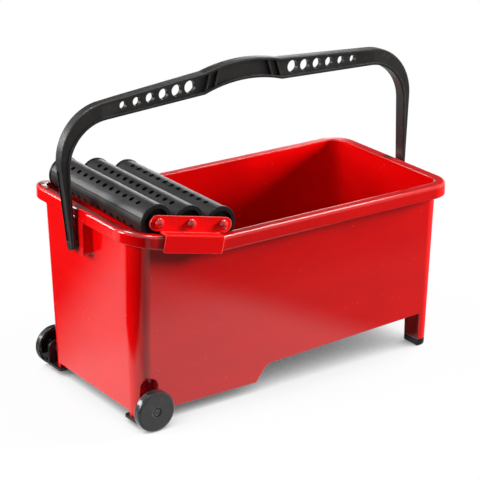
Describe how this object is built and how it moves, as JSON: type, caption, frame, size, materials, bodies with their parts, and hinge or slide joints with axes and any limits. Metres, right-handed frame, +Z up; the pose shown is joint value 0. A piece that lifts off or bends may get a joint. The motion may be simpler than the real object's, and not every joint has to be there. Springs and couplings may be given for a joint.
{
  "type": "grout cleaning bucket",
  "caption": "Wheeled trough with a deep well, a sloping shallow floor, a swinging carry handle and a lift-off set of perforated wringing rollers on a ramped rim.",
  "frame": {"origin": "on the floor under the middle of the object's bounding box", "axes": "+X along the trough away from the wheels and rollers, +Y across it, +Z up"},
  "size_m": [0.5806, 0.28, 0.4401],
  "materials": {
    "tub_plastic": "glossy moulded red",
    "black_plastic": "satin black",
    "wheel_plastic": "satin dark grey",
    "handle_plastic": "satin dark grey",
    "roller_plastic": "satin dark grey",
    "plate_paint": "gloss red paint",
    "cap_plastic": "glossy red",
    "steel": "bright",
    "dark_steel": "blackened"
  },
  "bodies": {
    "tub": {"tub": "tub_plastic", "foot_cap_front": "black_plastic", "foot_cap_rear": "black_plastic", "wheel_bracket_front": "black_plastic", "wheel_bracket_rear": "black_plastic", "bracket_screws": "steel", "wheel_axle_front": "dark_steel", "wheel_axle_rear": "dark_steel", "wheel_axle_nuts": "steel"},
    "handle": {"carry_handle": "handle_plastic"},
    "wheel_front": {"wheel_front": "wheel_plastic"},
    "wheel_rear": {"wheel_rear": "wheel_plastic"},
    "roller_set": {"roller_plate_front": "plate_paint", "roller_plate_rear": "plate_paint", "axle_caps": "cap_plastic", "roller_axle_1": "steel", "roller_axle_2": "steel", "roller_axle_3": "steel"},
    "roller_1": {"roller_1_shell_a": "roller_plastic", "roller_1_shell_b": "roller_plastic", "roller_1_cap_front": "black_plastic", "roller_1_cap_rear": "black_plastic"},
    "roller_2": {"roller_2_shell_a": "roller_plastic", "roller_2_shell_b": "roller_plastic", "roller_2_cap_front": "black_plastic", "roller_2_cap_rear": "black_plastic"},
    "roller_3": {"roller_3_shell_a": "roller_plastic", "roller_3_shell_b": "roller_plastic", "roller_3_cap_front": "black_plastic", "roller_3_cap_rear": "black_plastic"}
  },
  "joints": [
    {"name": "handle_swing", "type": "hinge", "parent": "tub", "child": "handle", "pos_m": [0, 0, 0.2345], "axis": [0.9999, 0, 0.0105], "range_deg": [-120, 122]},
    {"name": "wheel_front_spin", "type": "hinge", "parent": "tub", "child": "wheel_front", "pos_m": [-0.23396, 0, 0.0284], "axis": [0, 1, 0], "continuous": true},
    {"name": "wheel_rear_spin", "type": "hinge", "parent": "tub", "child": "wheel_rear", "pos_m": [-0.23396, 0, 0.0284], "axis": [0, 1, 0], "continuous": true},
    {"name": "roller_set_lift", "type": "slide", "parent": "tub", "child": "roller_set", "axis": [0.2233, 0, 0.9748], "range_m": [0, 0.06]},
    {"name": "roller_1_spin", "type": "hinge", "parent": "roller_set", "child": "roller_1", "pos_m": [-0.21756, 0, 0.28579], "axis": [0, 1, 0], "continuous": true},
    {"name": "roller_2_spin", "type": "hinge", "parent": "roller_set", "child": "roller_2", "pos_m": [-0.16833, 0, 0.27451], "axis": [0, 1, 0], "continuous": true},
    {"name": "roller_3_spin", "type": "hinge", "parent": "roller_set", "child": "roller_3", "pos_m": [-0.11911, 0, 0.26324], "axis": [0, 1, 0], "continuous": true}
  ]
}
